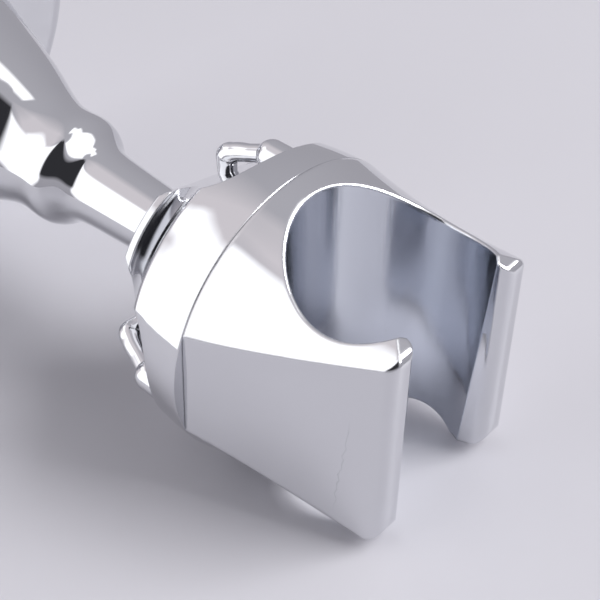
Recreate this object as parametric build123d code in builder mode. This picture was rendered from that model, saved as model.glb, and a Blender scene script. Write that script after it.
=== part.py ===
"""Hand shower holder: wall rose, turned arm, ball joint, clamp nut and slotted cradle.

Millimetres, +Z up, wall in the plane X = 0, arm along +X on the X axis.
"""
import os

from build123d import *

# Wall plate and rose
rose_r = 36.0
rose_depth = 9.2
rose_edge_r = 3.5
rose_front_t = 2.2
rose_wall_t = 2.9
plate_t = 2.0
plate_rim_t = 1.8
plate_depth = 6.0
plate_fit = 0.1
wall_hole_r = 2.25
wall_hole_spacing = 44.0

# Grub screw under the rose
grub_r = 2.0
grub_x = 3.6
grub_recess = 0.3
grub_hex_flats = 2.0
grub_hex_depth = 1.5
thread_fit = 0.05

# Arm and its screw, lengths counted from the rose's front face
foot_r = 19.6
flare_at = 17.4
flare_r = 14.1
taper_at = 26.5
taper_r = 11.2
throat_at = 32.8
throat_r = 8.6
waist_at = 35.5
waist_r = 7.9
bead_at = 39.4
bead_r = 8.35
shoulder_at = 42.5
shoulder_r = 7.35
stem_at = 44.4
stem_r = 5.3
stem_mid_at = 54.3
stem_mid_r = 4.76
stem_end_at = 64.8
stem_end_r = 4.5
stud_r = 2.5
stud_len = 7.0
arm_screw_r = 3.0
arm_screw_grip = 14.0
arm_screw_head_r = 5.0
arm_screw_head_t = 2.2
arm_screw_hex_flats = 4.0
arm_screw_hex_depth = 1.4
arm_hole_spare = 1.2
washer_r = 5.2
washer_t = 1.2
shank_fit = 0.1

# Ball joint
ball_r = 6.8
ball_ahead = 5.0
ball_hex_flats = 4.0
ball_hex_depth = 2.4
seat_fit = 0.08
seat_t = 1.1
rear_seat_from = 97.0
rear_seat_sweep = 25.0
front_seat_from = 26.0
front_seat_sweep = 42.0

# Clamp nut, lengths counted from the ball's centre
lip_behind = 7.0
lip_len = 1.3
lip_r = 13.7
lip_edge = 0.3
nut_hole_r = 6.4
neck_r = 12.7
neck_mid_behind = 2.1
neck_mid_r = 15.7
rim_ahead = 1.2
rim_in = 1.2
rim_turn = 1.2
flank_bulge = 0.25
seam_ahead = 10.15
seam_r = 20.9
seam_gap = 0.1
floor_ahead = 2.3

# Flat facets on the nut, each with a boss and a grip bar over it
facet_angles = (75.0, 195.0, 315.0)
facet_ahead = 1.6
facet_sink = 3.3
facet_slope = 0.73
wall_mid_ahead = 4.1
wall_mid_sink = 1.1
wall_ahead = 5.5
wall_over = 0.3
boss_r = 2.1
boss_ahead = 2.8
boss_sink = 1.35
boss_root_ahead = 8.0
boss_root_sink = 2.4
bar_r = 0.95
bar_start_ahead = 2.4
bar_bend_behind = 4.4
bar_bend_sink = 4.4
bar_bend = 1.1
bar_foot_behind = 3.0
bar_foot_sink = 8.1

# Cradle, lengths counted from the bore's axis
bore_ahead = 15.85
bore_ref_z = 14.4
bore_ref_r = 12.25
bore_taper = 0.049
bore_edge = 0.35
slot_half = 8.4
tip_ahead = 10.9
cheek_inset = 1.7
finger_t = 4.0
nose_r = 1.9
crease_r = 0.8
dip_behind = 1.5
dip_in = 1.35
brow_in = 0.7
top_trim_behind = 2.0
top_trim_out = 1.1
tip_top_in = 4.5
tip_top_round = 1.5
low_trim_behind = 8.0
low_trim_out = 1.1
tip_low_in = 6.9
tip_low_round = 4.0
spigot_r = 13.0
spigot_fit = 0.08
spigot_gap = 0.2

clear = 45.0
plate_r = rose_r - rose_wall_t - plate_fit
cavity_x = rose_depth - rose_front_t
head_x = cavity_x - washer_t - arm_screw_head_t
screw_end_x = cavity_x + arm_screw_grip
grub_out = rose_r - grub_recess
stem_end_x = rose_depth + stem_end_at
stud_end_x = stem_end_x + stud_len
ball_x = stem_end_x + ball_ahead
seat_in_r = ball_r + seat_fit
seat_out_r = seat_in_r + seat_t
socket_r = seat_out_r + seat_fit
lip_x = ball_x - lip_behind
rim_x = ball_x + rim_ahead
seam_x = ball_x + seam_ahead
nut_floor_x = ball_x + floor_ahead
cradle_x = seam_x + seam_gap
spigot_x = nut_floor_x + spigot_gap
bore_x = seam_x + bore_ahead
tip_x = bore_x + tip_ahead
rim_r = seam_r - rim_in
flank_x = (rim_x + seam_x) / 2
flank_r = (rim_r + seam_r) / 2 + flank_bulge
facet_x = ball_x + facet_ahead
facet_r = rim_r - facet_sink
facet_drop = clear * facet_slope
wall_x = ball_x + wall_ahead
wall_r = seam_r + wall_over
cheek_rear = seam_r - cheek_inset
cheek_front = slot_half + finger_t
bore_top_r = bore_ref_r + bore_taper * (clear - bore_ref_z)
bore_low_r = bore_ref_r - bore_taper * (clear + bore_ref_z)

os.makedirs("parts", exist_ok=True)

# Wall plate: a shallow cup with two screw holes in its floor
with BuildPart() as wall_plate:
    with BuildSketch(Plane.YZ):
        Circle(plate_r)
    extrude(amount=plate_depth)
    with BuildSketch(Plane.YZ.offset(plate_t)):
        Circle(plate_r - plate_rim_t)
    extrude(amount=plate_depth, mode=Mode.SUBTRACT)
    with BuildSketch(Plane.YZ):
        with GridLocations(wall_hole_spacing, 0, 2, 1):
            Circle(wall_hole_r)
    extrude(amount=plate_t, mode=Mode.SUBTRACT)
wall_plate.part.label = "wall_plate"
export_step(wall_plate.part, "parts/wall_plate.step")

# Rose: a domed cover over the plate
with BuildPart() as wall_flange:
    with BuildSketch(Plane.YZ):
        Circle(rose_r)
    extrude(amount=rose_depth)
    fillet(wall_flange.faces().sort_by(Axis.X)[-1].edges(), rose_edge_r)
    with BuildSketch(Plane.YZ):
        Circle(plate_r + plate_fit)
    extrude(amount=cavity_x, mode=Mode.SUBTRACT)
    with BuildSketch(Plane.YZ):
        Circle(arm_screw_r + shank_fit)
    extrude(amount=rose_depth, mode=Mode.SUBTRACT)
    with BuildSketch(Plane.XY):
        with Locations((grub_x, 0)):
            Circle(grub_r)
    extrude(amount=-clear, mode=Mode.SUBTRACT)
wall_flange.part.label = "wall_flange"
export_step(wall_flange.part, "parts/wall_flange.step")

# Grub screw from under the rose onto the plate's rim
with BuildPart() as flange_set_screw:
    with BuildSketch(Plane.XY.offset(-grub_out)):
        with Locations((grub_x, 0)):
            Circle(grub_r - thread_fit)
    extrude(amount=grub_out - plate_r)
    with BuildSketch(Plane.XY.offset(-grub_out)):
        with Locations((grub_x, 0)):
            RegularPolygon(grub_hex_flats / 2, 6, major_radius=False)
    extrude(amount=grub_hex_depth, mode=Mode.SUBTRACT)
flange_set_screw.part.label = "flange_set_screw"
export_step(flange_set_screw.part, "parts/flange_set_screw.step")

# Arm: turned flare, bead, shoulder, tapered stem and end stud
with BuildPart() as arm:
    with BuildSketch(Plane.XY):
        with BuildLine():
            Line((rose_depth, 0), (rose_depth, foot_r))
            Spline((rose_depth, foot_r), (rose_depth + flare_at, flare_r), (rose_depth + taper_at, taper_r),
                   (rose_depth + throat_at, throat_r), (rose_depth + waist_at, waist_r),
                   (rose_depth + bead_at, bead_r))
            ThreePointArc((rose_depth + bead_at, bead_r), (rose_depth + shoulder_at, shoulder_r),
                          (rose_depth + stem_at, stem_r))
            Spline((rose_depth + stem_at, stem_r), (rose_depth + stem_mid_at, stem_mid_r),
                   (stem_end_x, stem_end_r))
            Polyline((stem_end_x, stem_end_r), (stem_end_x, stud_r), (stud_end_x, stud_r),
                     (stud_end_x, 0), (rose_depth, 0))
        make_face()
    revolve(axis=Axis.X)
    with BuildSketch(Plane.YZ.offset(rose_depth)):
        Circle(arm_screw_r + thread_fit)
    extrude(amount=screw_end_x + arm_hole_spare - rose_depth, mode=Mode.SUBTRACT)
arm.part.label = "arm"
export_step(arm.part, "parts/arm.step")

# Screw that draws the arm's foot against the rose
with BuildPart() as arm_screw:
    with BuildSketch(Plane.YZ.offset(head_x)):
        Circle(arm_screw_head_r)
    extrude(amount=arm_screw_head_t)
    with BuildSketch(Plane.YZ.offset(head_x)):
        Circle(arm_screw_r)
    extrude(amount=screw_end_x - head_x)
    with BuildSketch(Plane.YZ.offset(head_x)):
        RegularPolygon(arm_screw_hex_flats / 2, 6, major_radius=False)
    extrude(amount=arm_screw_hex_depth, mode=Mode.SUBTRACT)
arm_screw.part.label = "arm_screw"
export_step(arm_screw.part, "parts/arm_screw.step")

# Washer between the screw head and the rose
with BuildPart() as lock_washer:
    with BuildSketch(Plane.YZ.offset(cavity_x - washer_t)):
        Circle(washer_r)
        Circle(arm_screw_r + shank_fit, mode=Mode.SUBTRACT)
    extrude(amount=washer_t)
lock_washer.part.label = "lock_washer"
export_step(lock_washer.part, "parts/lock_washer.step")

# Ball on the stem's stud, flat at the back, hex socket in front
with BuildPart() as ball:
    with Locations((ball_x, 0, 0)):
        Sphere(ball_r)
    with BuildSketch(Plane.YZ.offset(stem_end_x)):
        Circle(ball_r)
    extrude(amount=-clear, mode=Mode.SUBTRACT)
    with BuildSketch(Plane.YZ.offset(stem_end_x)):
        Circle(stud_r + thread_fit)
    extrude(amount=stud_len, mode=Mode.SUBTRACT)
    with BuildSketch(Plane.YZ.offset(ball_x + ball_r)):
        RegularPolygon(ball_hex_flats / 2, 6, major_radius=False)
    extrude(amount=-ball_hex_depth, mode=Mode.SUBTRACT)
ball.part.label = "ball"
export_step(ball.part, "parts/ball.step")

# Rear seat: a ring of a spherical shell behind the ball
with BuildPart() as rear_seat:
    with BuildSketch(Plane.XY):
        with BuildLine():
            rear_inner = CenterArc((ball_x, 0), seat_in_r, rear_seat_from, rear_seat_sweep)
            rear_outer = CenterArc((ball_x, 0), seat_out_r, rear_seat_from, rear_seat_sweep)
            Line(rear_inner @ 0, rear_outer @ 0)
            Line(rear_inner @ 1, rear_outer @ 1)
        make_face()
    revolve(axis=Axis.X)
rear_seat.part.label = "rear_seat"
export_step(rear_seat.part, "parts/rear_seat.step")

# Front seat: a spherical cup with a hole for the hex key
with BuildPart() as front_seat:
    with BuildSketch(Plane.XY):
        with BuildLine():
            front_inner = CenterArc((ball_x, 0), seat_in_r, front_seat_from, front_seat_sweep)
            front_outer = CenterArc((ball_x, 0), seat_out_r, front_seat_from, front_seat_sweep)
            Line(front_inner @ 0, front_outer @ 0)
            Line(front_inner @ 1, front_outer @ 1)
        make_face()
    revolve(axis=Axis.X)
front_seat.part.label = "front_seat"
export_step(front_seat.part, "parts/front_seat.step")

# Clamp nut: lip, flared neck, rounded rim and flank, three flat facets with bosses and grip bars
with BuildPart() as clamp_nut:
    with BuildSketch(Plane.XY) as nut_profile:
        with BuildLine():
            Polyline((seam_x, 0), (lip_x, 0), (lip_x, lip_r - lip_edge), (lip_x + lip_edge, lip_r),
                     (lip_x + lip_len, lip_r), (lip_x + lip_len, neck_r))
            ThreePointArc((lip_x + lip_len, neck_r), (ball_x - neck_mid_behind, neck_mid_r), (rim_x, rim_r))
            ThreePointArc((rim_x, rim_r), (flank_x, flank_r), (seam_x, seam_r))
            Line((seam_x, seam_r), (seam_x, 0))
        make_face()
        fillet(nut_profile.vertices().sort_by_distance((rim_x, rim_r))[0], rim_turn)
    revolve(axis=Axis.X)
    for angle in facet_angles:
        radial = Plane.XY.rotated((angle, 0, 0))
        with BuildSketch(radial):
            with BuildLine():
                ThreePointArc((facet_x, facet_r), (ball_x + wall_mid_ahead, rim_r - wall_mid_sink),
                              (wall_x, wall_r))
                Polyline((wall_x, wall_r), (facet_x - clear, wall_r), (facet_x - clear, facet_r - facet_drop),
                         (facet_x, facet_r))
            make_face()
        extrude(amount=clear, both=True, mode=Mode.SUBTRACT)
    for angle in facet_angles:
        radial = Plane.XY.rotated((angle, 0, 0))
        with BuildLine(radial, mode=Mode.PRIVATE) as boss_line:
            Line((ball_x + boss_ahead, rim_r - boss_sink),
                 (ball_x + boss_root_ahead, seam_r - boss_root_sink))
        boss_len = boss_line.edge().length
        boss_plane = Plane(boss_line.line @ 0, x_dir=boss_line.line % 0, z_dir=radial.z_dir)
        with BuildSketch(boss_plane):
            with BuildLine():
                CenterArc((0, 0), boss_r, 90, 90)
                Polyline((-boss_r, 0), (boss_len, 0), (boss_len, boss_r), (0, boss_r))
            make_face()
        revolve(axis=Axis(boss_plane.origin, boss_plane.x_dir))
        with BuildLine(radial, mode=Mode.PRIVATE) as bar_line:
            FilletPolyline((ball_x + bar_start_ahead, rim_r - boss_sink),
                           (ball_x - bar_bend_behind, rim_r - bar_bend_sink),
                           (ball_x - bar_foot_behind, rim_r - bar_foot_sink), radius=bar_bend)
        with BuildSketch(Plane(bar_line.line @ 0, z_dir=bar_line.line % 0)):
            Circle(bar_r)
        sweep(path=bar_line.line)
    with BuildSketch(Plane.YZ.offset(seam_x)):
        Circle(clear)
    extrude(amount=clear, mode=Mode.SUBTRACT)
    with BuildSketch(Plane.YZ):
        Circle(nut_hole_r)
    extrude(amount=seam_x, mode=Mode.SUBTRACT)
    with BuildSketch(Plane.XY):
        with BuildLine():
            CenterArc((ball_x, 0), socket_r, 0, 180)
            Line((ball_x - socket_r, 0), (ball_x + socket_r, 0))
        make_face()
    revolve(axis=Axis.X, mode=Mode.SUBTRACT)
    with BuildSketch(Plane.YZ.offset(nut_floor_x)):
        Circle(spigot_r + spigot_fit)
    extrude(amount=clear, mode=Mode.SUBTRACT)
clamp_nut.part.label = "clamp_nut"
export_step(clamp_nut.part, "parts/clamp_nut.step")

# Cradle outlines: seen from above, and from the side
with BuildSketch(Plane.XY) as plan:
    with BuildLine():
        Polyline((cradle_x, -cheek_rear), (tip_x, -cheek_front), (tip_x, -slot_half), (bore_x, -slot_half),
                 (bore_x, slot_half), (tip_x, slot_half), (tip_x, cheek_front), (cradle_x, cheek_rear),
                 close=True)
    make_face()
    fillet(plan.vertices().group_by(Axis.X)[-1], nose_r)

with BuildSketch(Plane.XZ) as side:
    with BuildLine():
        Polyline((cradle_x, -clear), (bore_x - low_trim_behind, -seam_r - low_trim_out),
                 (tip_x, tip_low_in - seam_r), (tip_x, seam_r - tip_top_in),
                 (bore_x - top_trim_behind, seam_r + top_trim_out), (cradle_x, clear), close=True)
    make_face()
    fillet(side.vertices().group_by(Axis.X)[-1].sort_by(Axis.Y)[0], tip_low_round)
    fillet(side.vertices().group_by(Axis.X)[-1].sort_by(Axis.Y)[-1], tip_top_round)

# Cradle: waisted round body, flat converging cheeks, tapered bore, open slot, rear spigot
with BuildPart() as cradle:
    with BuildSketch(Plane.XY):
        with BuildLine():
            Line((cradle_x, 0), (cradle_x, seam_r))
            ThreePointArc((cradle_x, seam_r), (bore_x - dip_behind, seam_r - dip_in),
                          (tip_x, seam_r - brow_in))
            Polyline((tip_x, seam_r - brow_in), (tip_x, 0), (cradle_x, 0))
        make_face()
    revolve(axis=Axis.X)
    with BuildSketch(Plane.XY):
        with Locations((cradle_x + clear, 0)):
            Rectangle(2 * clear, 2 * clear)
        add(plan.sketch, mode=Mode.SUBTRACT)
    extrude(amount=clear, both=True, mode=Mode.SUBTRACT)
    fillet(cradle.edges().filter_by(lambda edge: edge.geom_type == GeomType.BSPLINE
                                    and abs(edge.center().Y) > cheek_front), crease_r)
    with BuildSketch(Plane.XZ):
        with Locations((cradle_x + clear, 0)):
            Rectangle(2 * clear, 2 * clear)
        add(side.sketch, mode=Mode.SUBTRACT)
    extrude(amount=clear, both=True, mode=Mode.SUBTRACT)
    with BuildSketch(Plane.XZ):
        with BuildLine():
            Polyline((bore_x, -clear), (bore_x + bore_low_r, -clear), (bore_x + bore_top_r, clear),
                     (bore_x, clear), close=True)
        make_face()
    revolve(axis=Axis((bore_x, 0, 0), (0, 0, 1)), mode=Mode.SUBTRACT)
    fillet(cradle.edges().filter_by(GeomType.BSPLINE).sort_by(SortBy.LENGTH)[-2:], bore_edge)
    with BuildSketch(Plane.YZ.offset(spigot_x)):
        Circle(spigot_r)
    extrude(amount=cradle_x - spigot_x)
    with BuildSketch(Plane.XY):
        with BuildLine():
            CenterArc((ball_x, 0), socket_r, 0, 180)
            Line((ball_x - socket_r, 0), (ball_x + socket_r, 0))
        make_face()
    revolve(axis=Axis.X, mode=Mode.SUBTRACT)
cradle.part.label = "cradle"
export_step(cradle.part, "parts/cradle.step")
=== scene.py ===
"""Studio scene of a chromed hand shower holder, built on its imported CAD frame."""

import logging
import math
from dataclasses import dataclass
from enum import Enum

import bpy
from mathutils import Matrix, Vector

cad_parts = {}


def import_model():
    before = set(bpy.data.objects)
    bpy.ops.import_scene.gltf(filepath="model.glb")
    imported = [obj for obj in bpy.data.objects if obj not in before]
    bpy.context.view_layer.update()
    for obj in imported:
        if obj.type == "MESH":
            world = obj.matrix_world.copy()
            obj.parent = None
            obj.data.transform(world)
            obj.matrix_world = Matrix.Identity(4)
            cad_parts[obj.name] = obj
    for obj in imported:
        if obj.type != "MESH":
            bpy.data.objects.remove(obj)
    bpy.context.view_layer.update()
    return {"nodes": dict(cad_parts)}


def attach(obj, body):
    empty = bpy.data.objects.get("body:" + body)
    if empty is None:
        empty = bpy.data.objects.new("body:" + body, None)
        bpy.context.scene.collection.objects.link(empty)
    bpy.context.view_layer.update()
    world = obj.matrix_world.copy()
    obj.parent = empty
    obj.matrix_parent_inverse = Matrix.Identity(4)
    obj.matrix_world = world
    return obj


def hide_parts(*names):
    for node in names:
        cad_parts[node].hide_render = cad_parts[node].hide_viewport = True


LOG = logging.getLogger("shower_holder")

Rgb = tuple[float, float, float]
Span = tuple[float, float]
Triple = tuple[float, float, float]


class Node(str, Enum):
    """Names of the CAD nodes."""

    WALL_PLATE = "wall_plate"
    WALL_FLANGE = "wall_flange"
    SET_SCREW = "flange_set_screw"
    ARM = "arm"
    ARM_SCREW = "arm_screw"
    LOCK_WASHER = "lock_washer"
    BALL = "ball"
    REAR_SEAT = "rear_seat"
    FRONT_SEAT = "front_seat"
    CLAMP_NUT = "clamp_nut"
    CRADLE = "cradle"


@dataclass(frozen=True)
class Finish:
    """A surface finish.

    Args:
        name: Material name.
        color: Base colour, linear RGB.
        metallic: 1 for bare metal, 0 for plastic or paper.
        rough_low: Smallest roughness.
        rough_high: Largest roughness.
        ripple_scale: Noise scale of the surface's slow ripple, per metre.
        ripple_depth: Height of that ripple in metres.
        soft_edge: Radius in metres at which its edges catch the light, 0 for crisp ones.
    """

    name: str
    color: Rgb
    metallic: float
    rough_low: float
    rough_high: float
    ripple_scale: float
    ripple_depth: float
    soft_edge: float = 0.0


CHROME = Finish("polished_chrome", (0.68, 0.685, 0.71), 1.0, 0.025, 0.075, 260.0, 4.0e-6, 0.0003)
CHROME_SHELL = Finish("cradle_chrome", (0.69, 0.695, 0.72), 1.0, 0.03, 0.085, 220.0, 5.0e-6, 0.00055)
STEEL = Finish("zinc_steel", (0.55, 0.55, 0.56), 1.0, 0.27, 0.37, 900.0, 6.0e-6)
BRASS = Finish("turned_brass", (0.66, 0.5, 0.22), 1.0, 0.14, 0.3, 700.0, 5.0e-6)
NYLON = Finish("seat_nylon", (0.83, 0.82, 0.78), 0.0, 0.38, 0.55, 1200.0, 8.0e-6)
PAPER = Finish("floor_paper", (0.66, 0.65, 0.7), 0.0, 0.42, 0.55, 500.0, 6.0e-6)


@dataclass(frozen=True)
class BoreFinishAndShade:
    """The duller, streaked chrome inside the cradle's bore, with painted shade: a darker, bluer base colour
    than the outside's.

    Args:
        axis_x: Where the bore's axis stands along the arm, in metres.
        ref_z: Height at which its radius is given, in metres.
        ref_r: Its radius at that height, in metres.
        taper: How much the radius grows for each metre of height.
        fade: Distances past the wall between which the look ends, in metres.
        color: Base colour, linear RGB, darker and bluer than the outside's as painted shade in the bore.
        rough: Smallest and largest roughness.
        draw: Scale of its streaks along the bore, as a share of that across it.
        streak_scale: Noise scale of the dull streaks, per metre.
        streak_detail: Noise detail of the dull streaks.
        streak_span: Noise values at the smallest and largest roughness.
        groove_scale: Noise scale of the fine grooves, per metre.
        groove_depth: Depth of those grooves in metres.
    """

    axis_x: float = 0.105
    ref_z: float = 0.0144
    ref_r: float = 0.01225
    taper: float = 0.049
    fade: Span = (0.00006, 0.00012)
    # painted shade: the bore's base colour is darker and bluer than the cradle's outside chrome
    color: Rgb = (0.63, 0.655, 0.71)
    rough: Span = (0.1, 0.22)
    draw: float = 0.07
    streak_scale: float = 240.0
    streak_detail: float = 3.0
    streak_span: Span = (0.3, 0.7)
    groove_scale: float = 800.0
    groove_depth: float = 2.0e-5


@dataclass(frozen=True)
class Hairline:
    """The faint worn line that runs down one cheek of the cradle.

    Args:
        color: Base colour, linear RGB.
        strength: How strongly it shows.
        place: Smallest and largest place along the arm at mid height, in metres.
        sway_scale: Noise scale of its sway between them, per metre.
        sway_span: Noise values at those two places.
        lean: How far it moves along the arm for each metre of height.
        half_width: Half its width in metres.
        blur: Half the width of its soft edge in metres.
        reach: Its lowest and highest point in metres.
        end_blur: Half the length of its fade at either end, in metres.
        cheek: Where it ends under the cheek's face, from full to none, in metres across the arm.
    """

    color: Rgb = (0.36, 0.37, 0.4)
    strength: float = 0.4
    place: Span = (0.1101, 0.1107)
    sway_scale: float = 700.0
    sway_span: Span = (0.25, 0.75)
    lean: float = 0.0844
    half_width: float = 5.0e-5
    blur: float = 3.0e-5
    reach: Span = (-0.0105, 0.004)
    end_blur: float = 0.0015
    cheek: Span = (-0.0126, -0.0122)


class Wiring:
    """A node tree with short helpers for adding and joining nodes."""

    def __init__(self, tree: bpy.types.NodeTree) -> None:
        """Keeps the tree.

        Args:
            tree: The tree that nodes are added to.
        """
        self.tree = tree

    def add(self, kind: str, **values: object) -> bpy.types.Node:
        """Adds a node.

        Args:
            kind: The node's type name.
            values: Attributes to set on the node.

        Returns:
            The new node.
        """
        node = self.tree.nodes.new(kind)
        for key, value in values.items():
            setattr(node, key, value)
        return node

    def join(self, source: bpy.types.NodeSocket, target: bpy.types.NodeSocket) -> None:
        """Links two sockets.

        Args:
            source: Output socket.
            target: Input socket.
        """
        self.tree.links.new(source, target)

    def feed(self, value: object, target: bpy.types.NodeSocket) -> None:
        """Links a socket to an input, or sets the input's own value.

        Args:
            value: A socket, a number or a colour.
            target: Input socket.
        """
        if isinstance(value, bpy.types.NodeSocket):
            self.join(value, target)
        else:
            target.default_value = value

    def math(self, operation: str, first: object, second: object = None) -> bpy.types.NodeSocket:
        """Adds a Math node.

        Args:
            operation: The node's operation.
            first: A socket or a number.
            second: A socket or a number, where the operation needs one.

        Returns:
            The node's output socket.
        """
        node = self.add("ShaderNodeMath", operation=operation)
        self.feed(first, node.inputs[0])
        if second is not None:
            self.feed(second, node.inputs[1])
        return node.outputs[0]

    def mix(self, data_type: str, factor: bpy.types.NodeSocket, first: object, second: object,
            label: str = "") -> bpy.types.NodeSocket:
        """Adds a Mix node.

        Args:
            data_type: FLOAT for numbers, RGBA for colours.
            factor: The mask: 0 gives the first, 1 the second.
            first: A socket, a number or a colour.
            second: A socket, a number or a colour.
            label: The node's label.

        Returns:
            The node's result socket.
        """
        node = self.add("ShaderNodeMix", data_type=data_type, label=label)
        for name, value in (("Factor", factor), ("A", first), ("B", second)):
            self.feed(value, node.inputs[name])
        return node.outputs["Result"]

    def noise(self, vector: bpy.types.NodeSocket, scale: object, detail: float = 2.0,
              roughness: float = 0.5) -> bpy.types.NodeSocket:
        """Adds a Noise Texture node.

        Args:
            vector: Where it is read.
            scale: A socket or a number, per metre.
            detail: How many finer layers it has.
            roughness: How strong those layers are.

        Returns:
            The node's factor socket.
        """
        node = self.add("ShaderNodeTexNoise")
        for name, value in (("Vector", vector), ("Scale", scale), ("Detail", detail), ("Roughness", roughness)):
            self.feed(value, node.inputs[name])
        return node.outputs["Fac"]

    def span(self, value: bpy.types.NodeSocket, source: Span,
             target: tuple[object, object]) -> bpy.types.NodeSocket:
        """Adds a clamped Map Range node.

        Args:
            value: The socket to map.
            source: From-minimum and from-maximum.
            target: To-minimum and to-maximum, sockets or numbers.

        Returns:
            The node's result socket.
        """
        node = self.add("ShaderNodeMapRange", clamp=True)
        names = ("Value", "From Min", "From Max", "To Min", "To Max")
        for name, number in zip(names, (value, *source, *target)):
            self.feed(number, node.inputs[name])
        return node.outputs["Result"]

    def between(self, value: bpy.types.NodeSocket, limits: Span, blur: float) -> bpy.types.NodeSocket:
        """Adds a mask that is 1 between two limits and fades to 0 outside them.

        Args:
            value: The socket to test.
            limits: Lower and upper limit.
            blur: Half the width of each fade.

        Returns:
            The mask's socket.
        """
        above = self.span(value, (limits[0] - blur, limits[0] + blur), (0.0, 1.0))
        below = self.span(value, (limits[1] - blur, limits[1] + blur), (1.0, 0.0))
        return self.math("MULTIPLY", above, below)


@dataclass(frozen=True)
class SurfaceDetail:
    """The roughness patches and slow ripple that every finish shares.

    Args:
        patch_scale: Noise scale of the patches, per metre.
        patch_detail: Noise detail of the patches.
        patch_roughness: Noise roughness of the patches.
        patch_span: Noise values at the smallest and largest roughness.
        ripple_detail: Noise detail of the ripple.
    """

    patch_scale: float = 95.0
    patch_detail: float = 6.0
    patch_roughness: float = 0.62
    patch_span: Span = (0.35, 0.72)
    ripple_detail: float = 2.0

    def make_group(self) -> bpy.types.NodeTree:
        """Builds the node group.

        Returns:
            The group, with a roughness and a height output.
        """
        group = bpy.data.node_groups.new("surface_detail", "ShaderNodeTree")
        group.interface.new_socket("Vector", in_out="INPUT", socket_type="NodeSocketVector")
        for name in ("Low", "High", "Scale"):
            group.interface.new_socket(name, in_out="INPUT", socket_type="NodeSocketFloat")
        for name in ("Roughness", "Height"):
            group.interface.new_socket(name, in_out="OUTPUT", socket_type="NodeSocketFloat")
        wiring = Wiring(group)
        enter = wiring.add("NodeGroupInput").outputs
        leave = wiring.add("NodeGroupOutput").inputs
        patches = wiring.noise(enter["Vector"], self.patch_scale, self.patch_detail, self.patch_roughness)
        wiring.join(wiring.span(patches, self.patch_span, (enter["Low"], enter["High"])), leave["Roughness"])
        wiring.join(wiring.noise(enter["Vector"], enter["Scale"], self.ripple_detail), leave["Height"])
        return group


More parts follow.
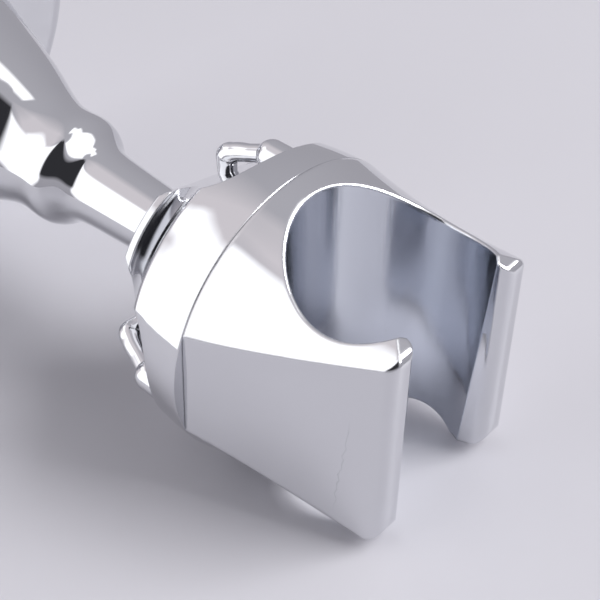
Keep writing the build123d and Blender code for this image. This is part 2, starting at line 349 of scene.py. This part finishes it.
class Paintbox:
    """Makes each finish once and hands it out."""

    def __init__(self) -> None:
        """Builds the shared node group and an empty store."""
        self.surface = SurfaceDetail().make_group()
        self.made: dict[str, bpy.types.Material] = {}

    def plain(self, finish: Finish) -> bpy.types.Material:
        """Returns the material of a finish.

        Args:
            finish: What the surface is like.

        Returns:
            The material, made on first use.
        """
        if finish.name not in self.made:
            self.made[finish.name] = self._build(finish)[0]
        return self.made[finish.name]

    def _build(self, finish: Finish) -> tuple[bpy.types.Material, Wiring, dict[str, bpy.types.Node]]:
        """Builds a material with roughness patches and a slow ripple.

        Args:
            finish: What the surface is like.

        Returns:
            The material, its wiring and its main nodes by name.
        """
        material = bpy.data.materials.new(finish.name)
        material.use_nodes = True
        wiring = Wiring(material.node_tree)
        shader = material.node_tree.nodes["Principled BSDF"]
        shader.inputs["Base Color"].default_value = (*finish.color, 1.0)
        shader.inputs["Metallic"].default_value = finish.metallic
        coords = wiring.add("ShaderNodeTexCoord")
        detail = wiring.add("ShaderNodeGroup", node_tree=self.surface)
        wiring.join(coords.outputs["Object"], detail.inputs["Vector"])
        detail.inputs["Low"].default_value = finish.rough_low
        detail.inputs["High"].default_value = finish.rough_high
        detail.inputs["Scale"].default_value = finish.ripple_scale
        wiring.join(detail.outputs["Roughness"], shader.inputs["Roughness"])
        bump = wiring.add("ShaderNodeBump")
        bump.inputs["Strength"].default_value = 1.0
        bump.inputs["Distance"].default_value = finish.ripple_depth
        wiring.join(detail.outputs["Height"], bump.inputs["Height"])
        wiring.join(bump.outputs["Normal"], shader.inputs["Normal"])
        if finish.soft_edge:
            edge = wiring.add("ShaderNodeBevel", samples=8)
            edge.inputs["Radius"].default_value = finish.soft_edge
            wiring.join(edge.outputs["Normal"], bump.inputs["Normal"])
        return material, wiring, {"shader": shader, "coords": coords, "detail": detail, "bump": bump}

    def cradle(self, finish: Finish, bore: BoreFinishAndShade, hairline: Hairline) -> bpy.types.Material:
        """Builds the cradle's chrome, duller and streaked inside its bore, where a darker base colour is
        painted shade.

        Args:
            finish: The polished outside.
            bore: The inside of the bore, with its painted shade.
            hairline: The worn line on one cheek.

        Returns:
            The material.
        """
        material, wiring, nodes = self._build(finish)
        shader = nodes["shader"]
        place = nodes["coords"].outputs["Object"]
        split = wiring.add("ShaderNodeSeparateXYZ")
        wiring.join(place, split.inputs[0])
        inside = self._inside(wiring, split, bore)
        stretch = wiring.add("ShaderNodeMapping")
        stretch.inputs["Scale"].default_value = (1.0, 1.0, bore.draw)
        wiring.join(place, stretch.inputs["Vector"])
        drawn = stretch.outputs["Vector"]
        streaks = wiring.noise(drawn, bore.streak_scale, bore.streak_detail)
        dull = wiring.span(streaks, bore.streak_span, bore.rough)
        rough = wiring.mix("FLOAT", inside, nodes["detail"].outputs["Roughness"], dull)
        wiring.join(rough, shader.inputs["Roughness"])
        # painted shade: inside the bore the base colour goes over to the darker, bluer bore colour
        bore_shaded_tone = wiring.mix("RGBA", inside, (*finish.color, 1.0), (*bore.color, 1.0))
        line = self._hairline(wiring, split, place, hairline)
        worn = wiring.mix("RGBA", line, bore_shaded_tone, (*hairline.color, 1.0))
        wiring.join(worn, shader.inputs["Base Color"])
        grooves = wiring.add("ShaderNodeBump")
        grooves.inputs["Distance"].default_value = bore.groove_depth
        height = wiring.math("MULTIPLY", wiring.noise(drawn, bore.groove_scale), inside)
        wiring.join(height, grooves.inputs["Height"])
        wiring.join(nodes["bump"].outputs["Normal"], grooves.inputs["Normal"])
        wiring.join(grooves.outputs["Normal"], shader.inputs["Normal"])
        return material

    @staticmethod
    def _inside(wiring: Wiring, split: bpy.types.Node, bore: BoreFinishAndShade) -> bpy.types.NodeSocket:
        """Finds the places inside the tapered bore.

        Args:
            wiring: The cradle material's wiring.
            split: The node with the place's X, Y and Z.
            bore: The bore's sizes.

        Returns:
            The mask of the bore.
        """
        from_axis = wiring.math("SUBTRACT", split.outputs["X"], bore.axis_x)
        along = wiring.math("MULTIPLY", from_axis, from_axis)
        across = wiring.math("MULTIPLY", split.outputs["Y"], split.outputs["Y"])
        radius = wiring.math("SQRT", wiring.math("ADD", along, across))
        widening = wiring.math("MULTIPLY", split.outputs["Z"], bore.taper)
        wall = wiring.math("ADD", widening, bore.ref_r - bore.taper * bore.ref_z)
        return wiring.span(wiring.math("SUBTRACT", radius, wall), bore.fade, (1.0, 0.0))

    @staticmethod
    def _hairline(wiring: Wiring, split: bpy.types.Node, place: bpy.types.NodeSocket,
                  hairline: Hairline) -> bpy.types.NodeSocket:
        """Draws the worn line on one cheek.

        Args:
            wiring: The cradle material's wiring.
            split: The node with the place's X, Y and Z.
            place: The place on the surface.
            hairline: What the line is like.

        Returns:
            The line's mask.
        """
        wander = wiring.noise(place, hairline.sway_scale)
        sway = wiring.span(wander, hairline.sway_span, hairline.place)
        middle = wiring.math("ADD", wiring.math("MULTIPLY", split.outputs["Z"], hairline.lean), sway)
        off_line = wiring.math("SUBTRACT", split.outputs["X"], middle)
        across = wiring.between(off_line, (-hairline.half_width, hairline.half_width), hairline.blur)
        along = wiring.between(split.outputs["Z"], hairline.reach, hairline.end_blur)
        near = wiring.span(split.outputs["Y"], hairline.cheek, (hairline.strength, 0.0))
        return wiring.math("MULTIPLY", wiring.math("MULTIPLY", across, along), near)


@dataclass
class WallSide:
    """The rose, its plate and screws, and the arm.

    Args:
        nodes: The CAD objects by node name.
        paints: Where the finishes come from.
        stations: Place along the arm and radius there, in metres, from the rose to the ball.
        sides: How many corners the arm's first ring has.
        smoothing: How often the arm is subdivided.
        crease_deg: Angle in degrees past which an edge of the arm stays sharp.
    """

    nodes: dict[str, bpy.types.Object]
    paints: Paintbox
    stations: tuple[Span, ...] = (
        (0.0092, 0.0176), (0.0092, 0.0194), (0.0092, 0.0196), (0.0094, 0.0196), (0.0098, 0.01952),
        (0.014, 0.0184), (0.02, 0.0163), (0.0266, 0.0141), (0.0312, 0.01275), (0.0357, 0.0112),
        (0.0392, 0.0097), (0.042, 0.00862), (0.0446, 0.00805), (0.0468, 0.0081), (0.0487, 0.0083),
        (0.0503, 0.0081), (0.0516, 0.0074), (0.0528, 0.0063), (0.0541, 0.00555), (0.057, 0.0053),
        (0.062, 0.00505), (0.067, 0.0048), (0.0735, 0.0045), (0.074, 0.0045), (0.074, 0.0038))
    sides: int = 64
    smoothing: int = 2
    crease_deg: float = 40.0

    def dress(self) -> list[bpy.types.Object]:
        """Builds the smooth arm and gives the wall side its finishes.

        Returns:
            The finished pieces.
        """
        pieces = [self._arm(), paint(self.nodes[Node.WALL_FLANGE.value], self.paints.plain(CHROME))]
        for node in (Node.WALL_PLATE, Node.SET_SCREW, Node.ARM_SCREW, Node.LOCK_WASHER):
            pieces.append(paint(self.nodes[node.value], self.paints.plain(STEEL)))
        return pieces

    def _arm(self) -> bpy.types.Object:
        """Draws the arm out of one ring, station by station, and smooths it.

        Returns:
            The arm.
        """
        deselect()
        start, radius = self.stations[0]
        bpy.ops.mesh.primitive_circle_add(vertices=self.sides, radius=radius, fill_type="NGON",
                                          rotation=(0.0, math.pi / 2, 0.0))
        shell = bpy.context.object
        shell.name = "turned_arm"
        shell.data.name = "turned_arm"
        shell.location = (start, 0.0, 0.0)
        bpy.ops.object.transform_apply(location=True, rotation=True, scale=True)
        bpy.ops.object.mode_set(mode="EDIT")
        bpy.ops.mesh.select_all(action="SELECT")
        for place, width in self.stations[1:]:
            bpy.ops.mesh.extrude_region_move(TRANSFORM_OT_translate={"value": (place - start, 0.0, 0.0)})
            grow = width / radius
            bpy.ops.transform.resize(value=(1.0, grow, grow), center_override=(place, 0.0, 0.0))
            start, radius = place, width
        bpy.ops.mesh.select_all(action="SELECT")
        bpy.ops.mesh.normals_make_consistent(inside=False)
        bpy.ops.object.mode_set(mode="OBJECT")
        smooth = shell.modifiers.new("smooth", "SUBSURF")
        smooth.levels = smooth.render_levels = self.smoothing
        bpy.ops.object.modifier_apply(modifier=smooth.name)
        bpy.ops.object.shade_smooth_by_angle(angle=math.radians(self.crease_deg))
        paint(shell, self.paints.plain(CHROME))
        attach(shell, "wall_arm")
        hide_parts(Node.ARM.value)
        return shell


@dataclass
class BallJoint:
    """The ball and its two seats.

    Args:
        nodes: The CAD objects by node name.
        paints: Where the finishes come from.
    """

    nodes: dict[str, bpy.types.Object]
    paints: Paintbox

    def dress(self) -> list[bpy.types.Object]:
        """Gives the joint's inner pieces their finishes.

        Returns:
            The finished pieces.
        """
        pieces = [paint(self.nodes[Node.BALL.value], self.paints.plain(BRASS))]
        for node in (Node.REAR_SEAT, Node.FRONT_SEAT):
            pieces.append(paint(self.nodes[node.value], self.paints.plain(NYLON)))
        return pieces


@dataclass
class Head:
    """The cradle, its clamp nut and the nut's grip loops.

    Args:
        nodes: The CAD objects by node name.
        paints: Where the finishes come from.
        loop_turns: Where the loops stand round the nut, in degrees from +Y.
        loop_r: Thickness of a loop's bar, as a radius in metres.
        loop_path: Place along the arm, distance from its axis and relative thickness, along one loop.
        roundness: How finely a loop's bar is rounded.
        merge: Distance in metres below which a loop's points are joined.
        crease_deg: Angle in degrees past which an edge of a loop stays sharp.
    """

    nodes: dict[str, bpy.types.Object]
    paints: Paintbox
    loop_turns: tuple[float, ...] = (75.0, 195.0, 315.0)
    loop_r: float = 0.0012
    loop_path: tuple[Triple, ...] = (
        (0.0816, 0.01845, 1.1), (0.0785, 0.01712, 1.0), (0.0759, 0.01592, 1.1),
        (0.07495, 0.0151, 1.3), (0.075, 0.0142, 1.15), (0.076, 0.0116, 1.0))
    roundness: int = 8
    merge: float = 1e-6
    crease_deg: float = 50.0

    def dress(self) -> list[bpy.types.Object]:
        """Builds the grip loops and gives the head its finishes.

        Returns:
            The finished pieces.
        """
        shell = self.paints.cradle(CHROME_SHELL, BoreFinishAndShade(), Hairline())
        pieces = [paint(self.nodes[Node.CLAMP_NUT.value], self.paints.plain(CHROME)),
                  paint(self.nodes[Node.CRADLE.value], shell)]
        return pieces + [self._loop(turn) for turn in self.loop_turns]

    def _loop(self, turn: float) -> bpy.types.Object:
        """Bends one grip loop over the nut's bar.

        Args:
            turn: Its place round the nut in degrees.

        Returns:
            The loop.
        """
        deselect()
        bpy.ops.curve.primitive_bezier_curve_add()
        wire = bpy.context.object
        points = wire.data.splines[0].bezier_points
        points.add(len(self.loop_path) - len(points))
        for point, (along, out, thickness) in zip(points, self.loop_path):
            point.co = (along, 0.0, out)
            point.handle_left_type = point.handle_right_type = "AUTO"
            point.radius = thickness
        wire.data.bevel_depth = self.loop_r
        wire.data.bevel_resolution = self.roundness
        wire.data.use_fill_caps = True
        bpy.ops.object.convert(target="MESH")
        loop = bpy.context.object
        loop.name = f"grip_loop_{turn:.0f}"
        loop.data.name = loop.name
        loop.rotation_euler = (math.radians(turn) - math.pi / 2, 0.0, 0.0)
        bpy.ops.object.transform_apply(location=True, rotation=True, scale=True)
        bpy.ops.object.mode_set(mode="EDIT")
        bpy.ops.mesh.select_all(action="SELECT")
        bpy.ops.mesh.remove_doubles(threshold=self.merge)
        bpy.ops.mesh.normals_make_consistent(inside=False)
        bpy.ops.object.mode_set(mode="OBJECT")
        bpy.ops.object.shade_smooth_by_angle(angle=math.radians(self.crease_deg))
        paint(loop, self.paints.plain(CHROME))
        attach(loop, "nut")
        return loop


@dataclass(frozen=True)
class Softbox:
    """A rectangular studio light.

    Args:
        name: Light name.
        aim: Point that it faces, in metres.
        heading: Direction from that point to the light.
        distance: How far away it is, in metres.
        size: Width and height in metres.
        radiance: How bright its face is.
    """

    name: str
    aim: Triple
    heading: Triple
    distance: float
    size: Span
    radiance: float


KEY_BOX = Softbox("key_box", (0.095, 0.0, 0.0), (0.515, 0.353, 0.783), 1.5, (0.85, 0.85), 8.6)


@dataclass(frozen=True)
class Panel:
    """A wall or card of the studio, as the chrome sees it.

    Args:
        name: What it is.
        turn: First and last angle in degrees, counted from -Y towards +X.
        rise: Lowest and highest angle above the horizon in degrees, at its middle.
        lean: How much its edges climb, in degrees of rise for each degree of turn.
        blur: Half the width of its soft edge in degrees.
        color: Its brightness, linear RGB.
    """

    name: str
    turn: Span
    rise: Span
    lean: float
    blur: float
    color: Rgb


PANELS = (
    Panel("pale_wall", (-108.0, -30.0), (-20.0, 80.0), 0.0, 14.0, (0.86, 0.81, 0.84)),
    Panel("white_card", (-62.0, -7.0), (-22.0, 58.0), 0.75, 4.0, (1.65, 1.65, 1.68)),
    Panel("white_wing", (-84.0, -52.0), (24.0, 44.5), 0.2, 3.0, (1.65, 1.65, 1.68)),
    Panel("dark_wall", (-10.0, 60.0), (8.0, 84.0), 0.0, 4.0, (0.04, 0.04, 0.045)),
    Panel("back_card_left", (-200.0, -157.0), (60.0, 77.0), 0.0, 2.5, (1.7, 1.7, 1.72)),
    Panel("back_card_right", (150.0, 200.0), (54.0, 73.0), 0.0, 2.5, (1.7, 1.7, 1.72)),
    Panel("side_card", (70.0, 154.0), (34.0, 74.0), 0.0, 2.5, (1.7, 1.7, 1.72)),
)


@dataclass(frozen=True)
class Room:
    """The plain room round the studio's panels.

    Args:
        low_color: Colour near the ground, linear RGB.
        high_color: Colour overhead, linear RGB.
        climb: Heights on a unit sphere between which one goes over into the other.
        backdrop: Colour that the camera sees, linear RGB.
        fill: Share of the room's light that falls on dull surfaces.
    """

    low_color: Rgb = (0.42, 0.41, 0.45)
    high_color: Rgb = (0.56, 0.55, 0.59)
    climb: Span = (-0.4, 0.9)
    backdrop: Rgb = (0.6, 0.59, 0.64)
    fill: float = 0.53


@dataclass(frozen=True)
class Viewpoint:
    """Where the photograph was taken from.

    Args:
        right: Direction of the picture's right side.
        up: Direction of the picture's upper side.
        place: The camera's place in metres.
        lens: Focal length in millimetres.
        sensor: Sensor width in millimetres.
        clip_start: Nearest distance that is drawn, in metres.
    """

    right: Triple = (0.7484, 0.6628, 0.0249)
    up: Triple = (-0.472, 0.506, 0.7219)
    place: Triple = (0.18976, -0.1169, 0.14863)
    lens: float = 99.99
    sensor: float = 36.0
    clip_start: float = 0.01


@dataclass
class Studio:
    """Floor, light, surroundings and camera.

    Args:
        paints: Where the floor's finish comes from.
        floor_r: Radius of the floor sheet in metres.
        floor_sides: How many corners the sheet has.
        low_rose: Point just under the rose's edge, in metres.
        low_head: Point just under the head, in metres.
        floor_along: From the first point to the sheet's centre, towards the head, in metres.
        floor_across: Shift of that centre across the arm, in metres.
        room: The room round the panels.
        viewpoint: Where the camera stands.
    """

    paints: Paintbox
    floor_r: float = 0.17
    floor_sides: int = 128
    low_rose: Triple = (0.0062, 0.0, -0.0361)
    low_head: Triple = (0.0941, 0.0, -0.0203)
    floor_along: float = 0.055
    floor_across: float = 0.03
    room: Room = Room()
    viewpoint: Viewpoint = Viewpoint()

    def build(self) -> None:
        """Sets up everything around the object."""
        self._floor()
        self._light(KEY_BOX)
        self._surroundings()
        self._camera()
        bpy.context.scene.view_settings.view_transform = "Standard"

    def _floor(self) -> None:
        """Lays a pale sheet under the rose's edge and the head."""
        deselect()
        bpy.ops.mesh.primitive_circle_add(vertices=self.floor_sides, radius=self.floor_r, fill_type="NGON",
                                          location=(0, 0, 0))
        floor = bpy.context.object
        floor.name = "floor"
        low_rose = Vector(self.low_rose)
        across = Vector((0.0, 1.0, 0.0))
        along = (Vector(self.low_head) - low_rose).normalized()
        normal = along.cross(across).normalized()
        place = Matrix((along, across, normal)).transposed().to_4x4()
        place.translation = low_rose + along * self.floor_along + across * self.floor_across
        floor.data.transform(place)
        paint(floor, self.paints.plain(PAPER))

    @staticmethod
    def _light(box: Softbox) -> None:
        """Adds a softbox that faces the object.

        Args:
            box: Which light.
        """
        deselect()
        heading = Vector(box.heading).normalized()
        bpy.ops.object.light_add(type="AREA", location=Vector(box.aim) + heading * box.distance)
        lamp = bpy.context.object
        lamp.name = box.name
        lamp.rotation_euler = heading.to_track_quat("Z", "Y").to_euler()
        lamp.data.shape = "RECTANGLE"
        lamp.data.size, lamp.data.size_y = box.size
        lamp.data.energy = box.radiance * math.pi * box.size[0] * box.size[1]

    def _surroundings(self) -> None:
        """Makes the pale room with the walls and cards that the chrome reflects."""
        world = bpy.data.worlds.new("studio")
        bpy.context.scene.world = world
        world.use_nodes = True
        wiring = Wiring(world.node_tree)
        background = world.node_tree.nodes["Background"]
        coords = wiring.add("ShaderNodeTexCoord")
        split = wiring.add("ShaderNodeSeparateXYZ")
        wiring.join(coords.outputs["Generated"], split.inputs[0])
        lift = wiring.add("ShaderNodeValToRGB")
        lift.color_ramp.elements[0].color = (*self.room.low_color, 1.0)
        lift.color_ramp.elements[1].color = (*self.room.high_color, 1.0)
        wiring.join(wiring.span(split.outputs["Z"], self.room.climb, (0.0, 1.0)), lift.inputs["Fac"])
        back = wiring.math("MULTIPLY", split.outputs["Y"], -1.0)
        turn = wiring.math("DEGREES", wiring.math("ARCTAN2", split.outputs["X"], back))
        rise = wiring.math("DEGREES", wiring.math("ARCSINE", split.outputs["Z"]))
        color = lift.outputs["Color"]
        for panel in PANELS:
            middle = sum(panel.turn) / 2
            climb = wiring.math("MULTIPLY", wiring.math("SUBTRACT", turn, middle), panel.lean)
            level = wiring.math("SUBTRACT", rise, climb)
            mask = wiring.math("MULTIPLY", wiring.between(turn, panel.turn, panel.blur),
                               wiring.between(level, panel.rise, panel.blur))
            color = wiring.mix("RGBA", mask, color, (*panel.color, 1.0), panel.name)
        path = wiring.add("ShaderNodeLightPath")
        seen = wiring.mix("RGBA", path.outputs["Is Camera Ray"], color, (*self.room.backdrop, 1.0))
        wiring.join(seen, background.inputs["Color"])
        strength = wiring.span(path.outputs["Is Diffuse Ray"], (0.0, 1.0), (1.0, self.room.fill))
        wiring.join(strength, background.inputs["Strength"])

    def _camera(self) -> None:
        """Puts the camera at the viewpoint."""
        deselect()
        bpy.ops.object.camera_add()
        camera = bpy.context.object
        right = Vector(self.viewpoint.right)
        up = Vector(self.viewpoint.up)
        pose = Matrix((right, up, right.cross(up))).transposed().to_4x4()
        pose.translation = Vector(self.viewpoint.place)
        camera.matrix_world = pose
        camera.data.lens = self.viewpoint.lens
        camera.data.sensor_width = self.viewpoint.sensor
        camera.data.clip_start = self.viewpoint.clip_start
        bpy.context.scene.camera = camera


def deselect() -> None:
    """Clears the selection before an operator runs."""
    bpy.ops.object.select_all(action="DESELECT")


def paint(piece: bpy.types.Object, material: bpy.types.Material) -> bpy.types.Object:
    """Puts one material on every slot of a piece.

    Args:
        piece: The mesh object.
        material: What to put on it.

    Returns:
        The same piece.
    """
    if not piece.material_slots:
        piece.data.materials.append(material)
    for slot in piece.material_slots:
        slot.material = material
    return piece


def main() -> None:
    """Builds the scene and reports each piece."""
    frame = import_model()
    paints = Paintbox()
    for assembly in (WallSide, BallJoint, Head):
        for piece in assembly(frame["nodes"], paints).dress():
            LOG.info("%s: finished %s", assembly.__name__, piece.name)
    Studio(paints).build()


if __name__ == "__main__":
    logging.basicConfig(level=logging.INFO)
    main()
